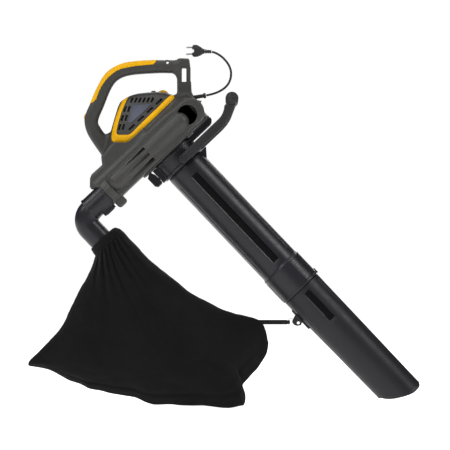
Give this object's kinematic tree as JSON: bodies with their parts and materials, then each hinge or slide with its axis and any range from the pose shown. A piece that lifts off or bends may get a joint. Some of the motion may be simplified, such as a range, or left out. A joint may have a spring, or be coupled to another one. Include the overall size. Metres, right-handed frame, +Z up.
{
  "type": "leaf vacuum mulcher",
  "caption": "Hand-held electric leaf vacuum: motor and fan housing with loop handle, long suction tube and fabric collecting bag on a side elbow.",
  "frame": {"origin": "middle of the top handle's grip, where a hand carries the machine", "axes": "+Z up in the carrying pose, +X towards the nozzle, +Y away from the side with the outlet"},
  "size_m": [1.0899, 0.2443, 1.0111],
  "materials": {
    "housing_grey": "satin",
    "accent_yellow": "satin",
    "grille_dark": "matte",
    "plate_blue_grey": "satin",
    "handle_dark": "matte",
    "tube_black": "satin",
    "fan_plastic": "matte",
    "motor_steel": "satin",
    "fastener_steel": "satin",
    "pin_nickel": "polished",
    "winding_copper": "satin",
    "brush_carbon": "matte",
    "cord_rubber": "matte",
    "bag_fabric": "matte",
    "strap_webbing": "matte"
  },
  "bodies": {
    "housing": {"housing_left_shell": "housing_grey", "housing_right_shell": "housing_grey", "vent_trim_left": "accent_yellow", "vent_trim_right": "accent_yellow", "vent_grille_left": "grille_dark", "vent_grille_right": "grille_dark", "side_plate_left": "plate_blue_grey", "side_plate_right": "plate_blue_grey", "handle_grip_pad": "accent_yellow", "post_insert": "grille_dark", "switch_module": "grille_dark", "speed_control_board": "grille_dark", "motor_stator": "motor_steel", "carbon_brush_upper": "brush_carbon", "carbon_brush_lower": "brush_carbon", "brush_holder_upper": "grille_dark", "brush_holder_lower": "grille_dark", "rear_bearing": "motor_steel", "front_bearing": "motor_steel", "motor_mount_plate": "grille_dark", "fan_cover": "grille_dark", "tube_collar": "tube_black", "aux_handle_arm_left": "handle_dark", "aux_handle_arm_right": "handle_dark", "aux_handle_screw_left": "fastener_steel", "aux_handle_screw_right": "fastener_steel", "aux_grip_bar": "handle_dark", "supply_lead": "cord_rubber", "switch_lead": "cord_rubber", "housing_screw_1": "fastener_steel", "housing_screw_2": "fastener_steel", "housing_screw_3": "fastener_steel", "housing_screw_4": "fastener_steel", "strain_relief": "cord_rubber", "mains_cord": "cord_rubber", "plug_body": "cord_rubber", "plug_pin_upper": "pin_nickel", "plug_pin_lower": "pin_nickel"},
    "fan": {"motor_shaft": "motor_steel", "armature": "winding_copper", "commutator": "winding_copper", "impeller": "fan_plastic", "shredder_blade": "motor_steel", "fan_spacer": "fan_plastic", "fan_nut": "motor_steel"},
    "rocker": {"power_rocker": "accent_yellow"},
    "dial": {"speed_dial": "accent_yellow"},
    "latch": {"tube_latch": "tube_black"},
    "suction_tube": {"upper_tube": "tube_black"},
    "tube_button": {"joint_button": "tube_black"},
    "nozzle_tube": {"lower_tube": "tube_black", "strap_bracket": "tube_black"},
    "elbow": {"outlet_sleeve": "tube_black", "elbow_pipe": "tube_black"},
    "outlet_button": {"outlet_release_button": "tube_black"},
    "bag": {"bag_collar": "tube_black", "bag": "bag_fabric", "bag_strap": "strap_webbing"},
    "ring": {"strap_ring": "fastener_steel"}
  },
  "joints": [
    {"name": "fan_spin", "type": "hinge", "parent": "housing", "child": "fan", "pos_m": [-0.03054, 0, -0.16684], "axis": [0.6884, 0, -0.7254], "continuous": true},
    {"name": "power_rocker_press", "type": "hinge", "parent": "housing", "child": "rocker", "pos_m": [-0.1915, 0, -0.144], "axis": [0, 1, 0], "range_deg": [0, 7]},
    {"name": "speed_dial_turn", "type": "hinge", "parent": "housing", "child": "dial", "pos_m": [0.015, 0, -0.085], "axis": [0, 1, 0], "range_deg": [-135, 135]},
    {"name": "tube_latch_open", "type": "hinge", "parent": "housing", "child": "latch", "pos_m": [-0.01583, 0, -0.30728], "axis": [0, 1, 0], "range_deg": [0, 30]},
    {"name": "tube_pull_off", "type": "slide", "parent": "housing", "child": "suction_tube", "axis": [0.6884, 0, -0.7254], "range_m": [0, 0.045]},
    {"name": "tube_button_press", "type": "slide", "parent": "suction_tube", "child": "tube_button", "axis": [-0.7254, 0, -0.6884], "range_m": [0, 0.003], "stiffness_N_per_m": 400, "springref_m": -0.001},
    {"name": "nozzle_tube_pull_off", "type": "slide", "parent": "suction_tube", "child": "nozzle_tube", "axis": [0.6884, 0, -0.7254], "range_m": [0, 0.055]},
    {"name": "elbow_pull_off", "type": "slide", "parent": "housing", "child": "elbow", "axis": [-0.7254, 0, -0.6884], "range_m": [0, 0.03]},
    {"name": "outlet_button_press", "type": "slide", "parent": "elbow", "child": "outlet_button", "axis": [-0.6884, 0, 0.7254], "range_m": [0, 0.0025], "stiffness_N_per_m": 400, "springref_m": -0.001},
    {"name": "bag_pull_off", "type": "slide", "parent": "elbow", "child": "bag", "axis": [0.6884, 0, -0.7254], "range_m": [0, 0.04], "deforming": ["bag_strap"]},
    {"name": "strap_ring_swing", "type": "hinge", "parent": "nozzle_tube", "child": "ring", "pos_m": [0.38158, 0, -0.71706], "axis": [0, 1, 0], "range_deg": [-8, 8]}
  ]
}
